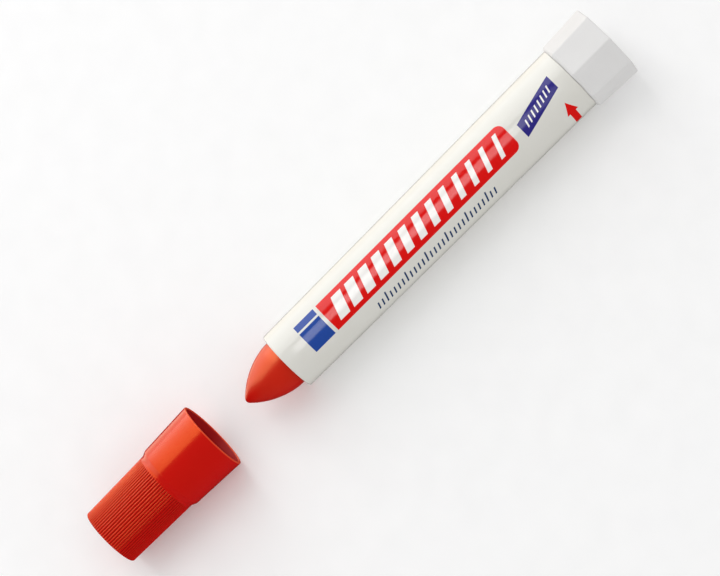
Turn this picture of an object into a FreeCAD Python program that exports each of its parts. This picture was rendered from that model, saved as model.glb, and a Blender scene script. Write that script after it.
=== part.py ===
import FreeCAD, Part

import math
import os

import Sketcher
from FreeCAD import Vector

# Solid-paint marker with a twist-up feed, cap taken off and lying in line in front of the tip.
# Millimetres. +X runs along the axis from the cap to the knob, +Z up, and z = 0 is the surface the
# marker lies on. X = 0 is the middle of the whole row of pieces.

SIZES = {
    # Barrel
    "barrel_length": 110.95,
    "barrel_front_radius": 9.4,
    "barrel_swell": 0.8,
    "barrel_wall": 1.8,
    "rim_bevel": 0.5,
    "neck_length": 9.0,
    "neck_step": 1.0,
    "neck_wall": 0.8,
    "seat_bore_depth": 6.0,
    "snap_from_shoulder": 5.5,
    "snap_height": 0.3,
    "snap_width": 1.4,
    "key_count": 4,
    "key_width": 1.6,
    "key_height": 0.5,
    # Knob
    "knob_length": 14.6,
    "knob_gap": 0.1,
    "knob_sides": 8,
    "knob_step": 0.22,
    "knob_draft": 0.63,
    "knob_corner_round": 0.9,
    "knob_front_bevel": 0.6,
    "knob_rear_bevel": 0.3,
    "knob_end_wall": 1.6,
    "knob_end_rim": 2.85,
    "knob_dish_depth": 0.4,
    "hub_wall": 1.7,
    # Spindle
    "thread_lead": 6.0,
    "thread_core_radius": 2.2,
    "thread_depth": 0.8,
    "thread_width": 2.2,
    "thread_sink": 0.2,
    "thread_flat": 1.6,
    "thread_front_spare": 1.5,
    "spindle_point": 1.6,
    "flange_thickness": 3.0,
    "drive_flat": 3.0,
    # Seal ring
    "seal_width": 1.4,
    "seal_height": 1.3,
    # Carrier
    "carrier_length": 9.0,
    "carrier_wall": 0.75,
    "carrier_floor": 1.5,
    "cup_depth": 3.0,
    "carrier_hub_radius": 4.7,
    "carrier_key_length": 6.0,
    "feed_turns": 12,
    # Paint stick
    "stick_reach": 15.95,
    "nose_radius": 1.4,
    "flank_radius": 23.0,
    "shoulder_radius": 12.0,
    "shoulder_turn": 9.0,
    "stick_hole_spare": 1.5,
    # Cap
    "cap_mouth_gap": 13.3,
    "cap_skirt_length": 16.6,
    "cap_slope_length": 1.5,
    "cap_grip_length": 22.7,
    "cap_skirt_wall": 0.83,
    "cap_flare": 0.72,
    "cap_mouth_wall": 0.8,
    "cap_slope_drop": 0.69,
    "cap_grip_taper": 0.41,
    "cap_wall": 0.95,
    "cap_end_wall": 1.3,
    "cap_lip_bevel": 0.25,
    "cap_end_bevel": 0.35,
    "cap_collar": 0.9,
    "cap_seal_length": 4.0,
    "rib_count": 72,
    "rib_depth": 0.3,
    "rib_land": 0.22,
    # Clearances
    "stick_gap": 0.15,
    "cup_gap": 0.05,
    "key_gap": 0.12,
    "thread_gap": 0.2,
    "neck_gap": 0.15,
    "flange_gap": 0.1,
    "seal_gap": 0.05,
    "drive_gap": 0.02,
    "end_gap": 0.5,
    "cap_gap": 0.07,
}

doc = FreeCAD.newDocument("Marker")
sheet = doc.addObject("Spreadsheet::Sheet", "Sizes")
for row, (name, number) in enumerate(SIZES.items(), start=1):
    sheet.set(f"A{row}", name)
    sheet.set(f"B{row}", str(number))
    sheet.setAlias(f"B{row}", name)
doc.recompute()


def value(formula):
    """The number that a formula of sizes gives now."""
    return float(sheet.evalExpression(formula))


# Places along the axis, each a formula of the sizes. Half of the row lies on each side of x = 0.
ROW_LENGTH = "(" + " + ".join(f"Sizes.{size}" for size in (
    "knob_length",
    "knob_gap",
    "barrel_length",
    "stick_reach",
    "cap_mouth_gap",
    "cap_skirt_length",
    "cap_slope_length",
    "cap_grip_length",
)) + ")"
KNOB_REAR = f"({ROW_LENGTH} / 2)"
KNOB_FRONT = f"({KNOB_REAR} - Sizes.knob_length)"
SHOULDER = f"({KNOB_FRONT} - Sizes.knob_gap)"
RIM = f"({SHOULDER} - Sizes.barrel_length)"
NECK_END = f"({SHOULDER} + Sizes.neck_length)"
BEAD = f"({SHOULDER} + Sizes.snap_from_shoulder)"
SEAT = f"({NECK_END} - Sizes.seat_bore_depth)"
FLANGE_FRONT = f"({SEAT} + Sizes.end_gap)"
FLANGE_REAR = f"({FLANGE_FRONT} + Sizes.flange_thickness)"
KNOB_INSIDE = f"({KNOB_REAR} - Sizes.knob_end_wall)"
CARRIER_REAR = f"({SEAT} - Sizes.end_gap)"
CARRIER_FRONT = f"({CARRIER_REAR} - Sizes.carrier_length)"
CUP_FLOOR = f"({CARRIER_FRONT} + Sizes.cup_depth)"
STROKE = "(Sizes.feed_turns * Sizes.thread_lead)"
KEY_FRONT = f"({CARRIER_REAR} - Sizes.carrier_key_length)"
GROOVE_FRONT = f"({KEY_FRONT} - {STROKE} - Sizes.end_gap)"
THREAD_FRONT = f"({CUP_FLOOR} - {STROKE} - Sizes.thread_front_spare)"
SPINDLE_TIP = f"({THREAD_FRONT} - Sizes.spindle_point)"
APEX = f"({RIM} - Sizes.stick_reach)"
CAP_MOUTH = f"({APEX} - Sizes.cap_mouth_gap)"
CAP_SKIRT = f"({CAP_MOUTH} - Sizes.cap_skirt_length)"
CAP_GRIP = f"({CAP_SKIRT} - Sizes.cap_slope_length)"
CAP_END = f"({CAP_GRIP} - Sizes.cap_grip_length)"
RIB_END = f"({CAP_GRIP} - Sizes.cap_collar)"

# Radii, each a formula of the sizes. What fits in or over the barrel follows the barrel's radius.
BARREL_FRONT = "Sizes.barrel_front_radius"
BARREL_REAR = f"({BARREL_FRONT} + Sizes.barrel_swell)"
BORE = f"({BARREL_FRONT} - Sizes.barrel_wall)"
NECK = f"({BARREL_REAR} - Sizes.neck_step)"
SEAT_BORE = f"({NECK} - Sizes.neck_wall)"
FLAT_FRONT = f"({BARREL_REAR} + Sizes.knob_step)"
FLAT_REAR = f"({FLAT_FRONT} + Sizes.knob_draft)"
DISH = f"({FLAT_REAR} - Sizes.knob_end_rim)"
STICK = f"({BORE} - Sizes.stick_gap)"
CUP = f"({STICK} - Sizes.carrier_wall)"
CORE = "Sizes.thread_core_radius"
CREST = f"({CORE} + Sizes.thread_depth)"
SEAL_OUTER = f"({SEAT_BORE} - Sizes.seal_gap)"
CAP_LAND = (
    f"({BARREL_FRONT} + Sizes.cap_gap"
    " + Sizes.cap_seal_length * Sizes.barrel_swell / Sizes.barrel_length)"
)
CAP_SKIRT_RADIUS = f"({CAP_LAND} + Sizes.cap_skirt_wall)"
CAP_MOUTH_RADIUS = f"({CAP_SKIRT_RADIUS} + Sizes.cap_flare)"
CAP_GRIP_RADIUS = f"({CAP_SKIRT_RADIUS} - Sizes.cap_slope_drop)"
CAP_END_RADIUS = f"({CAP_GRIP_RADIUS} - Sizes.cap_grip_taper)"

# The axis lies as high as the knob's rear flat, which rests on the surface.
AXIS_Z = FLAT_REAR

# The spindle's drive end is a hexagon.
DRIVE_SIDES = 6

# How near an edge's corners lie to a place, in millimetres, to count as being there.
NEAR = 0.02


def origin_plane(body, role):
    return next(item for item in body.Origin.OriginFeatures if item.Role == role)


def new_body(name):
    """A body whose own X axis is the marker's axis."""
    body = doc.addObject("PartDesign::Body", name)
    body.Label = name
    body.setExpression("Placement.Base.z", AXIS_Z)
    return body


def new_sketch(body, name, role, offset=None):
    """A sketch on one of the body's own planes, moved along its normal by a formula."""
    sketch = body.newObject("Sketcher::SketchObject", name)
    sketch.AttachmentSupport = [(origin_plane(body, role), "")]
    sketch.MapMode = "FlatFace"
    if offset:
        sketch.setExpression("AttachmentOffset.Base.z", offset)
    return sketch


def pin_point(sketch, item, end, across, up):
    """Holds one end of a sketch line at a place given by two formulas."""
    for kind, axis, formula in (("DistanceX", -2, across), ("DistanceY", -1, up)):
        if formula == "0":
            sketch.addConstraint(Sketcher.Constraint("PointOnObject", item, end, axis))
            continue
        number = value(formula)
        index = sketch.addConstraint(Sketcher.Constraint(kind, -1, 1, item, end, number))
        sketch.setExpression(f"Constraints[{index}]", formula)


def add_outline(sketch, corners):
    """A closed outline of straight sides through corners given as pairs of formulas."""
    places = [Vector(value(across), value(up), 0) for across, up in corners]
    first = sketch.GeometryCount
    count = len(corners)
    for step in range(count):
        sketch.addGeometry(Part.LineSegment(places[step], places[(step + 1) % count]))
    for step in range(count):
        following = first + (step + 1) % count
        sketch.addConstraint(Sketcher.Constraint("Coincident", first + step, 2, following, 1))
    for step, (across, up) in enumerate(corners):
        pin_point(sketch, first + step, 1, across, up)


def revolve(body, kind, name, corners):
    """An outline in the XZ plane turned once round the axis."""
    sketch = new_sketch(body, name + "_outline", "XZ_Plane")
    add_outline(sketch, corners)
    feature = body.newObject(kind, name)
    feature.Profile = sketch
    feature.ReferenceAxis = (sketch, ["H_Axis"])
    feature.Angle = 360
    doc.recompute()
    return feature


def block(body, kind, name, offset, length, corners, backwards=False):
    """An outline in a plane across the axis, padded or cut along it."""
    sketch = new_sketch(body, name + "_outline", "YZ_Plane", offset)
    add_outline(sketch, corners)
    feature = body.newObject(kind, name)
    feature.Profile = sketch
    feature.setExpression("Length", length)
    feature.Reversed = backwards
    doc.recompute()
    return feature


def rectangle(low_across, low_up, high_across, high_up):
    return [(low_across, low_up), (high_across, low_up), (high_across, high_up), (low_across, high_up)]


def regular(sides, flat):
    """Corners of a regular polygon with a flat straight down, from its flat radius."""
    corners = []
    for step in range(sides):
        turn = 360.0 / sides * (step - 0.5) - 90
        reach = f"{flat} / cos({180.0 / sides} deg)"
        corners.append((f"{reach} * cos({turn} deg)", f"{reach} * sin({turn} deg)"))
    return corners


def repeat_round(body, feature, name, count):
    """The feature repeated evenly round the axis."""
    pattern = body.newObject("PartDesign::PolarPattern", name)
    pattern.Originals = [feature]
    pattern.Axis = (origin_plane(body, "X_Axis"), [""])
    pattern.Angle = 360
    pattern.setExpression("Occurrences", count)
    body.Tip = pattern
    doc.recompute()
    return pattern


def round_edges(body, name, radius, wanted):
    """Rounds the edges of the body for which wanted(edge) is true."""
    base = body.Tip
    names = [f"Edge{step}" for step, edge in enumerate(base.Shape.Edges, start=1) if wanted(edge)]
    fillet = body.newObject("PartDesign::Fillet", name)
    fillet.Base = (base, names)
    fillet.setExpression("Radius", radius)
    doc.recompute()
    return fillet


def bevel_edges(body, name, size, wanted):
    """Bevels the edges of the body for which wanted(edge) is true."""
    base = body.Tip
    names = [f"Edge{step}" for step, edge in enumerate(base.Shape.Edges, start=1) if wanted(edge)]
    chamfer = body.newObject("PartDesign::Chamfer", name)
    chamfer.Base = (base, names)
    chamfer.setExpression("Size", size)
    doc.recompute()
    return chamfer


def lies_across(edge, place):
    """Tells whether an edge lies in the plane across the axis at that place."""
    return abs(edge.BoundBox.XMin - place) < NEAR and abs(edge.BoundBox.XMax - place) < NEAR


def ring_edge(place, radius):
    """Tells whether an edge is the circle of that radius round the axis at that place."""

    def wanted(edge):
        reach = max(math.hypot(vertex.Y, vertex.Z) for vertex in edge.Vertexes)
        return lies_across(edge, place) and abs(reach - radius) < NEAR

    return wanted


def thread(body, kind, name, corners, start, height):
    """A left-hand helical thread of one start, wound forwards from the place of its outline."""
    sketch = new_sketch(body, name + "_outline", "XZ_Plane")
    add_outline(sketch, [(f"{start} + {along}", up) for along, up in corners])
    feature = body.newObject(kind, name)
    feature.Profile = sketch
    feature.ReferenceAxis = (sketch, ["H_Axis"])
    feature.Mode = 0
    feature.setExpression("Pitch", "Sizes.thread_lead")
    feature.setExpression("Height", height)
    feature.Reversed = True
    feature.LeftHanded = True
    doc.recompute()
    return feature


def ridge(gap):
    """A triangular thread ridge that starts inside the core, its crest and flanks moved out by a gap."""
    slope = "(Sizes.thread_width / 2 / Sizes.thread_depth)"
    foot = f"({slope} * (Sizes.thread_depth + Sizes.thread_sink + {gap}))"
    return [
        (f"-{foot}", f"{CORE} - Sizes.thread_sink"),
        ("0", f"{CREST} + {gap}"),
        (foot, f"{CORE} - Sizes.thread_sink"),
    ]


# Barrel: tapered tube, neck with a snap bead, counterbore for the spindle's flange
def make_barrel():
    body = new_body("barrel")
    revolve(body, "PartDesign::Revolution", "barrel_tube", [
        (RIM, BORE),
        (RIM, BARREL_FRONT),
        (SHOULDER, BARREL_REAR),
        (SHOULDER, NECK),
        (f"{BEAD} - Sizes.snap_width / 2", NECK),
        (BEAD, f"{NECK} + Sizes.snap_height"),
        (f"{BEAD} + Sizes.snap_width / 2", NECK),
        (NECK_END, NECK),
        (NECK_END, SEAT_BORE),
        (SEAT, SEAT_BORE),
        (SEAT, BORE),
    ])
    half_key = "(Sizes.key_width / 2 + Sizes.key_gap)"
    groove = block(
        body,
        "PartDesign::Pocket",
        "key_groove",
        SEAT,
        f"{SEAT} - {GROOVE_FRONT}",
        rectangle(
            f"-{half_key}",
            f"{BORE} - Sizes.key_height",
            half_key,
            f"{BORE} + Sizes.key_height + Sizes.key_gap",
        ),
    )
    repeat_round(body, groove, "key_grooves", "Sizes.key_count")
    rim = ring_edge(value(RIM), value(BARREL_FRONT))
    bevel_edges(body, "rim_bevel", "Sizes.rim_bevel", rim)
    return body


# Knob: drafted eight-sided cup with a hub inside
def make_knob():
    body = new_body("knob")
    shell = block(
        body,
        "PartDesign::Pad",
        "knob_shell",
        KNOB_FRONT,
        "Sizes.knob_length",
        regular(int(value("Sizes.knob_sides")), FLAT_FRONT),
    )
    shell.setExpression("TaperAngle", "atan(Sizes.knob_draft / Sizes.knob_length)")
    doc.recompute()
    front = value(KNOB_FRONT)
    rear = value(KNOB_REAR)
    round_edges(
        body,
        "corner_rounding",
        "Sizes.knob_corner_round",
        lambda edge: edge.BoundBox.XLength > rear - front - NEAR,
    )
    bevel_edges(body, "front_bevel", "Sizes.knob_front_bevel", lambda edge: lies_across(edge, front))
    bevel_edges(body, "rear_bevel", "Sizes.knob_rear_bevel", lambda edge: lies_across(edge, rear))
    inner = f"({NECK} + Sizes.neck_gap)"
    bead_half = "(Sizes.snap_width / 2 + Sizes.neck_gap)"
    hub = f"Sizes.drive_flat / cos({180 / DRIVE_SIDES} deg) + Sizes.hub_wall"
    revolve(body, "PartDesign::Groove", "knob_cavity", [
        (SHOULDER, "0"),
        (SHOULDER, inner),
        (f"{BEAD} - {bead_half}", inner),
        (BEAD, f"{inner} + Sizes.snap_height"),
        (f"{BEAD} + {bead_half}", inner),
        (KNOB_INSIDE, inner),
        (KNOB_INSIDE, hub),
        (FLANGE_REAR, hub),
        (FLANGE_REAR, "0"),
    ])
    block(
        body,
        "PartDesign::Pocket",
        "drive_socket",
        FLANGE_REAR,
        f"{KNOB_INSIDE} - {FLANGE_REAR}",
        regular(DRIVE_SIDES, "(Sizes.drive_flat + Sizes.drive_gap)"),
        backwards=True,
    )
    revolve(body, "PartDesign::Groove", "knob_dish", [
        (f"{KNOB_REAR} - Sizes.knob_dish_depth", "0"),
        (f"{KNOB_REAR} - Sizes.knob_dish_depth", DISH),
        (f"{KNOB_REAR} + Sizes.knob_dish_depth", DISH),
        (f"{KNOB_REAR} + Sizes.knob_dish_depth", "0"),
    ])
    return body


# Spindle: screw with two moulding flats, sealed flange, hexagonal drive end
def make_spindle():
    body = new_body("spindle")
    flange = f"{SEAT_BORE} - Sizes.flange_gap"
    groove_floor = f"{SEAL_OUTER} - Sizes.seal_height - Sizes.seal_gap"
    middle = f"({FLANGE_FRONT} + Sizes.flange_thickness / 2)"
    half = "(Sizes.seal_width / 2 + Sizes.seal_gap)"
    revolve(body, "PartDesign::Revolution", "spindle_core", [
        (SPINDLE_TIP, "0"),
        (SPINDLE_TIP, f"{CORE} - Sizes.spindle_point / 2"),
        (THREAD_FRONT, CORE),
        (f"{SEAT} - Sizes.end_gap", CORE),
        (SEAT, CREST),
        (FLANGE_FRONT, CREST),
        (FLANGE_FRONT, flange),
        (f"{middle} - {half}", flange),
        (f"{middle} - {half}", groove_floor),
        (f"{middle} + {half}", groove_floor),
        (f"{middle} + {half}", flange),
        (FLANGE_REAR, flange),
        (FLANGE_REAR, "0"),
    ])
    thread(
        body,
        "PartDesign::AdditiveHelix",
        "spindle_thread",
        ridge("0"),
        f"{CARRIER_REAR} - Sizes.thread_width",
        f"{CARRIER_REAR} - {THREAD_FRONT} - 2 * Sizes.thread_width",
    )
    flats = new_sketch(body, "moulding_flats_outline", "YZ_Plane", THREAD_FRONT)
    reach = f"({CREST} + Sizes.thread_sink)"
    add_outline(flats, rectangle("Sizes.thread_flat", f"-{reach}", reach, reach))
    add_outline(flats, rectangle(f"-{reach}", f"-{reach}", "-Sizes.thread_flat", reach))
    cut = body.newObject("PartDesign::Pocket", "moulding_flats")
    cut.Profile = flats
    cut.setExpression("Length", f"{CARRIER_REAR} - {THREAD_FRONT}")
    cut.Reversed = True
    doc.recompute()
    block(
        body,
        "PartDesign::Pad",
        "drive_end",
        FLANGE_REAR,
        f"{KNOB_INSIDE} - {FLANGE_REAR} - Sizes.drive_gap",
        regular(DRIVE_SIDES, "Sizes.drive_flat"),
    )
    return body


# Seal ring: square-cut ring in the flange's groove
def make_seal_ring():
    body = new_body("seal_ring")
    middle = f"({FLANGE_FRONT} + Sizes.flange_thickness / 2)"
    revolve(body, "PartDesign::Revolution", "seal_section", rectangle(
        f"{middle} - Sizes.seal_width / 2",
        f"{SEAL_OUTER} - Sizes.seal_height",
        f"{middle} + Sizes.seal_width / 2",
        SEAL_OUTER,
    ))
    return body


# Carrier: cup for the paint in front, threaded hub and keyed skirt behind
def make_carrier():
    body = new_body("carrier")
    bore = f"{CORE} + Sizes.thread_gap"
    floor_rear = f"({CUP_FLOOR} + Sizes.carrier_floor)"
    revolve(body, "PartDesign::Revolution", "carrier_section", [
        (CARRIER_FRONT, CUP),
        (CARRIER_FRONT, STICK),
        (CARRIER_REAR, STICK),
        (CARRIER_REAR, CUP),
        (floor_rear, CUP),
        (floor_rear, "Sizes.carrier_hub_radius"),
        (CARRIER_REAR, "Sizes.carrier_hub_radius"),
        (CARRIER_REAR, bore),
        (CUP_FLOOR, bore),
        (CUP_FLOOR, CUP),
    ])
    thread(
        body,
        "PartDesign::SubtractiveHelix",
        "carrier_thread",
        ridge("Sizes.thread_gap"),
        f"{CARRIER_REAR} - Sizes.thread_width + Sizes.thread_lead",
        f"ceil(({CARRIER_REAR} - {CUP_FLOOR}) / Sizes.thread_lead + 1) * Sizes.thread_lead",
    )
    key = block(
        body,
        "PartDesign::Pad",
        "key",
        CARRIER_REAR,
        "Sizes.carrier_key_length",
        rectangle(
            "-Sizes.key_width / 2",
            f"{STICK} - Sizes.carrier_wall / 2",
            "Sizes.key_width / 2",
            f"{BORE} + Sizes.key_height",
        ),
        backwards=True,
    )
    repeat_round(body, key, "keys", "Sizes.key_count")
    return body


def tip_places():
    """Ends and centres of the three arcs that round the tip, from its shoulder to its apex."""
    shoulder = value("Sizes.shoulder_radius")
    flank = value("Sizes.flank_radius")
    nose = value("Sizes.nose_radius")
    side = value(STICK)
    turn = math.radians(value("Sizes.shoulder_turn"))
    fall = shoulder * (1 - math.cos(turn))
    nose_turn = math.acos((side - fall - flank * math.cos(turn)) / (nose - flank))
    nose_end = nose * (1 - math.sin(nose_turn))
    flank_run = flank * (math.sin(nose_turn) - math.sin(turn))
    shoulder_run = shoulder * math.sin(turn)
    apex = value(APEX)
    return {
        "apex": Vector(apex, 0, 0),
        "nose_centre": Vector(apex + nose, 0, 0),
        "nose_top": Vector(apex + nose_end, nose * math.cos(nose_turn), 0),
        "flank_top": Vector(apex + nose_end + flank_run, side - fall, 0),
        "shoulder_top": Vector(apex + nose_end + flank_run + shoulder_run, side, 0),
        "shoulder_centre": Vector(apex + nose_end + flank_run + shoulder_run, side - shoulder, 0),
    }


def arc_between(centre, start, end):
    """The shorter arc about a centre, counter-clockwise from start to end."""
    radius = (start - centre).Length
    first = math.atan2(start.y - centre.y, start.x - centre.x)
    last = math.atan2(end.y - centre.y, end.x - centre.x)
    circle = Part.Circle(centre, Vector(0, 0, 1), radius)
    return Part.ArcOfCircle(circle, first, last)


# Paint stick: bullet nose of three tangent arcs, spindle hole, spigot in the carrier's cup
def make_paint_stick():
    body = new_body("paint_stick")
    spigot = f"{CUP} - Sizes.cup_gap"
    hole = f"{CREST} + Sizes.stick_gap"
    hole_front = f"{SPINDLE_TIP} - Sizes.stick_hole_spare"
    corners = [
        (hole_front, "0"),
        (hole_front, hole),
        (CUP_FLOOR, hole),
        (CUP_FLOOR, spigot),
        (CARRIER_FRONT, spigot),
        (CARRIER_FRONT, STICK),
    ]
    places = tip_places()
    sketch = new_sketch(body, "stick_outline", "XZ_Plane")
    points = [Vector(value(across), value(up), 0) for across, up in corners]
    points.append(places["shoulder_top"])
    for start, end in zip(points, points[1:]):
        sketch.addGeometry(Part.LineSegment(start, end))
    side = len(points) - 2
    turn = math.radians(value("Sizes.shoulder_turn"))
    pull = value("Sizes.flank_radius") - value("Sizes.shoulder_radius")
    flank_centre = places["shoulder_centre"] + Vector(pull * math.sin(turn), -pull * math.cos(turn), 0)
    shoulder = sketch.addGeometry(
        arc_between(places["shoulder_centre"], places["shoulder_top"], places["flank_top"])
    )
    flank = sketch.addGeometry(arc_between(flank_centre, places["flank_top"], places["nose_top"]))
    nose = sketch.addGeometry(arc_between(places["nose_centre"], places["nose_top"], places["apex"]))
    middle = sketch.addGeometry(Part.LineSegment(places["apex"], points[0]))
    for step in range(side):
        sketch.addConstraint(Sketcher.Constraint("Coincident", step, 2, step + 1, 1))
    sketch.addConstraint(Sketcher.Constraint("Coincident", nose, 2, middle, 1))
    sketch.addConstraint(Sketcher.Constraint("Coincident", middle, 2, 0, 1))
    for step, (across, up) in enumerate(corners):
        pin_point(sketch, step, 1, across, up)
    pin_point(sketch, middle, 1, APEX, "0")
    sketch.addConstraint(Sketcher.Constraint("Horizontal", side))
    for before, after in ((side, shoulder), (shoulder, flank), (flank, nose)):
        sketch.addConstraint(Sketcher.Constraint("Tangent", before, 2, after, 1))
    sketch.addConstraint(Sketcher.Constraint("PointOnObject", nose, 3, -1))
    for arc, size in ((shoulder, "shoulder_radius"), (flank, "flank_radius"), (nose, "nose_radius")):
        index = sketch.addConstraint(Sketcher.Constraint("Radius", arc, value(f"Sizes.{size}")))
        sketch.setExpression(f"Constraints[{index}]", f"Sizes.{size}")
    drop = f"{STICK} - Sizes.shoulder_radius * (1 - cos(Sizes.shoulder_turn * 1 deg))"
    index = sketch.addConstraint(Sketcher.Constraint("DistanceY", -1, 1, flank, 1, value(drop)))
    sketch.setExpression(f"Constraints[{index}]", drop)
    turned = body.newObject("PartDesign::Revolution", "stick_section")
    turned.Profile = sketch
    turned.ReferenceAxis = (sketch, ["H_Axis"])
    turned.Angle = 360
    doc.recompute()
    return body


# Cap: ribbed grip, slope, flared skirt with a seat step and a straight sealing land inside
def make_cap():
    body = new_body("cap")
    mouth_bore = f"({CAP_MOUTH_RADIUS} - Sizes.cap_mouth_wall)"
    grip_bore = f"({CAP_END_RADIUS} - Sizes.cap_wall)"
    revolve(body, "PartDesign::Revolution", "cap_shell", [
        (CAP_END, "0"),
        (CAP_END, CAP_END_RADIUS),
        (RIB_END, CAP_GRIP_RADIUS),
        (CAP_GRIP, CAP_GRIP_RADIUS),
        (CAP_SKIRT, CAP_SKIRT_RADIUS),
        (CAP_MOUTH, CAP_MOUTH_RADIUS),
        (CAP_MOUTH, mouth_bore),
        (f"{CAP_SKIRT} + Sizes.cap_seal_length", CAP_LAND),
        (CAP_SKIRT, CAP_LAND),
        (CAP_SKIRT, grip_bore),
        (f"{CAP_END} + Sizes.cap_end_wall", grip_bore),
        (f"{CAP_END} + Sizes.cap_end_wall", "0"),
    ])
    lip_outer = ring_edge(value(CAP_MOUTH), value(CAP_MOUTH_RADIUS))
    lip_inner = ring_edge(value(CAP_MOUTH), value(mouth_bore))
    end = ring_edge(value(CAP_END), value(CAP_END_RADIUS))
    bevel_edges(body, "lip_bevel", "Sizes.cap_lip_bevel", lambda edge: lip_outer(edge) or lip_inner(edge))
    bevel_edges(body, "end_bevel", "Sizes.cap_end_bevel", end)
    section = new_sketch(body, "rib_groove_outline", "YZ_Plane", RIB_END)
    groove_width = f"(2 * pi * {CAP_GRIP_RADIUS} / Sizes.rib_count - Sizes.rib_land)"
    add_outline(section, [
        ("0", f"{CAP_GRIP_RADIUS} - Sizes.rib_depth"),
        (groove_width, f"{CAP_GRIP_RADIUS} + Sizes.rib_depth"),
        (f"-{groove_width}", f"{CAP_GRIP_RADIUS} + Sizes.rib_depth"),
    ])
    slope = f"(Sizes.cap_grip_taper / ({RIB_END} - {CAP_END}))"
    groove = body.newObject("PartDesign::Pocket", "rib_groove")
    groove.Profile = section
    groove.setExpression("Length", "Sizes.cap_grip_length")
    groove.UseCustomVector = True
    groove.Direction = Vector(-1, 0, -value(slope))
    doc.recompute()
    repeat_round(body, groove, "ribs", "Sizes.rib_count")
    return body


bodies = [
    make_barrel(),
    make_knob(),
    make_spindle(),
    make_seal_ring(),
    make_carrier(),
    make_paint_stick(),
    make_cap(),
]

doc.recompute()
for item in doc.Objects:
    if "Invalid" in item.State or "Error" in item.State:
        raise RuntimeError(f"{item.Name} failed: {item.State}")
os.makedirs("parts", exist_ok=True)
for body in bodies:
    shape = body.Shape
    if shape.isNull() or not shape.isValid():
        raise RuntimeError(f"{body.Label} has no valid shape")
    shape.exportStep(f"parts/{body.Label}.step")
    box = shape.BoundBox
    print(
        f"{body.Label}: {len(shape.Solids)} solid, {len(shape.Faces)} faces, {shape.Volume:.1f} mm3,"
        f" x {box.XMin:.2f} to {box.XMax:.2f}, z {box.ZMin:.2f} to {box.ZMax:.2f}"
    )
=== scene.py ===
# %% [markdown]
# A twist-up marker for solid paint: a white tapered barrel, an eight-sided turning knob, a bullet of red
# paint standing out of the front, and the red cap, taken off and lying in line in front of the tip.
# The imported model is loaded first. It says where every piece is, and nothing here moves or resizes it.

import math

import bmesh
import bpy
from mathutils import Matrix, Vector


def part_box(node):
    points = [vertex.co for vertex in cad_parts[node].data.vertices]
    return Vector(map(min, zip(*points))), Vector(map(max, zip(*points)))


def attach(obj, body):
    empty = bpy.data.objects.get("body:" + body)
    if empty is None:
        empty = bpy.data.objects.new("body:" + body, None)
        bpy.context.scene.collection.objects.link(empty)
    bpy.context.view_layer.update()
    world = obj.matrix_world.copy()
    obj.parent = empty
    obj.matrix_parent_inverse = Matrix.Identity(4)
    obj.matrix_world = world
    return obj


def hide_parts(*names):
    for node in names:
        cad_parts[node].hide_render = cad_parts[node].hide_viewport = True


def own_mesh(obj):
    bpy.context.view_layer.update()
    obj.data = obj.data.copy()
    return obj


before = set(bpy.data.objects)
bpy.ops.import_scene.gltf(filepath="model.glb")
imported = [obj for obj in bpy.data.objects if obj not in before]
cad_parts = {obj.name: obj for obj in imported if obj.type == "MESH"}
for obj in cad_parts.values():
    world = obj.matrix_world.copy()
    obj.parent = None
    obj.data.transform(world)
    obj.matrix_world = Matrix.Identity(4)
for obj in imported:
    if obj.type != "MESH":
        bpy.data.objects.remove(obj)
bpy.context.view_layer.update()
print("nodes", sorted(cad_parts))

# %% [markdown]
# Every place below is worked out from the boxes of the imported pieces, in metres. The marker's axis runs
# along X, at half the barrel's height, and its paint tip points to the low end. Typed in as numbers, these
# places would no longer fit if the model were packed again with another size.

# %% Places read from the frame
MM = 0.001
BARREL_LOW, BARREL_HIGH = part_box("barrel")
STICK_LOW, STICK_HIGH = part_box("paint_stick")
CAP_LOW, CAP_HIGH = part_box("cap")
KNOB_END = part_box("knob")[1].x
AXIS_Z = (BARREL_LOW.z + BARREL_HIGH.z) / 2
RIM = BARREL_LOW.x
NECK_END = BARREL_HIGH.x
APEX = STICK_LOW.x
CAP_END = CAP_LOW.x
CAP_MOUTH = CAP_HIGH.x
print("axis height", round(AXIS_Z / MM, 3), "mm")
print("whole length", round((KNOB_END - CAP_END) / MM, 1), "mm")

# %% [markdown]
# The camera stands 750 mm from the marker, high above its near side, with a long lens, so that the barrel
# hardly narrows with distance. It leans 3.2 degrees towards the knob, which opens the view into the cap's
# mouth, and it is rolled so that the marker points from the lower left to the upper right. Its three axes
# are written as vectors. Turns about X, Y and Z would mix these choices, but here each of them is a line.

# %% Camera
CAMERA_DISTANCE = 0.75
CAMERA_LENS = 135
CAMERA_LEAN = math.radians(3.18)
CAMERA_SIDE = math.radians(22.5)
AIM_ALONG = 1.05 * MM
AIM = Vector((AIM_ALONG, 0, AXIS_Z))

facing = Vector((0, -math.sin(CAMERA_SIDE), math.cos(CAMERA_SIDE)))
back = facing * math.cos(CAMERA_LEAN) + Vector((math.sin(CAMERA_LEAN), 0, 0))
along = Vector((1, 0, 0))
along = (along - back * along.dot(back)).normalized()
above = back.cross(along)
right = (along - above).normalized()
up = (along + above).normalized()
camera_data = bpy.data.cameras.new("camera")
camera_data.lens = CAMERA_LENS
camera_data.sensor_width = 36
camera_data.clip_start = 0.01
camera_data.clip_end = 20
camera = bpy.data.objects.new("camera", camera_data)
bpy.context.scene.collection.objects.link(camera)
camera_turned = Matrix((right, up, back)).transposed().to_4x4()
camera.matrix_world = Matrix.Translation(AIM + back * CAMERA_DISTANCE) @ camera_turned
bpy.context.scene.camera = camera
print("camera at", [round(value, 3) for value in camera.location])

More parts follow.
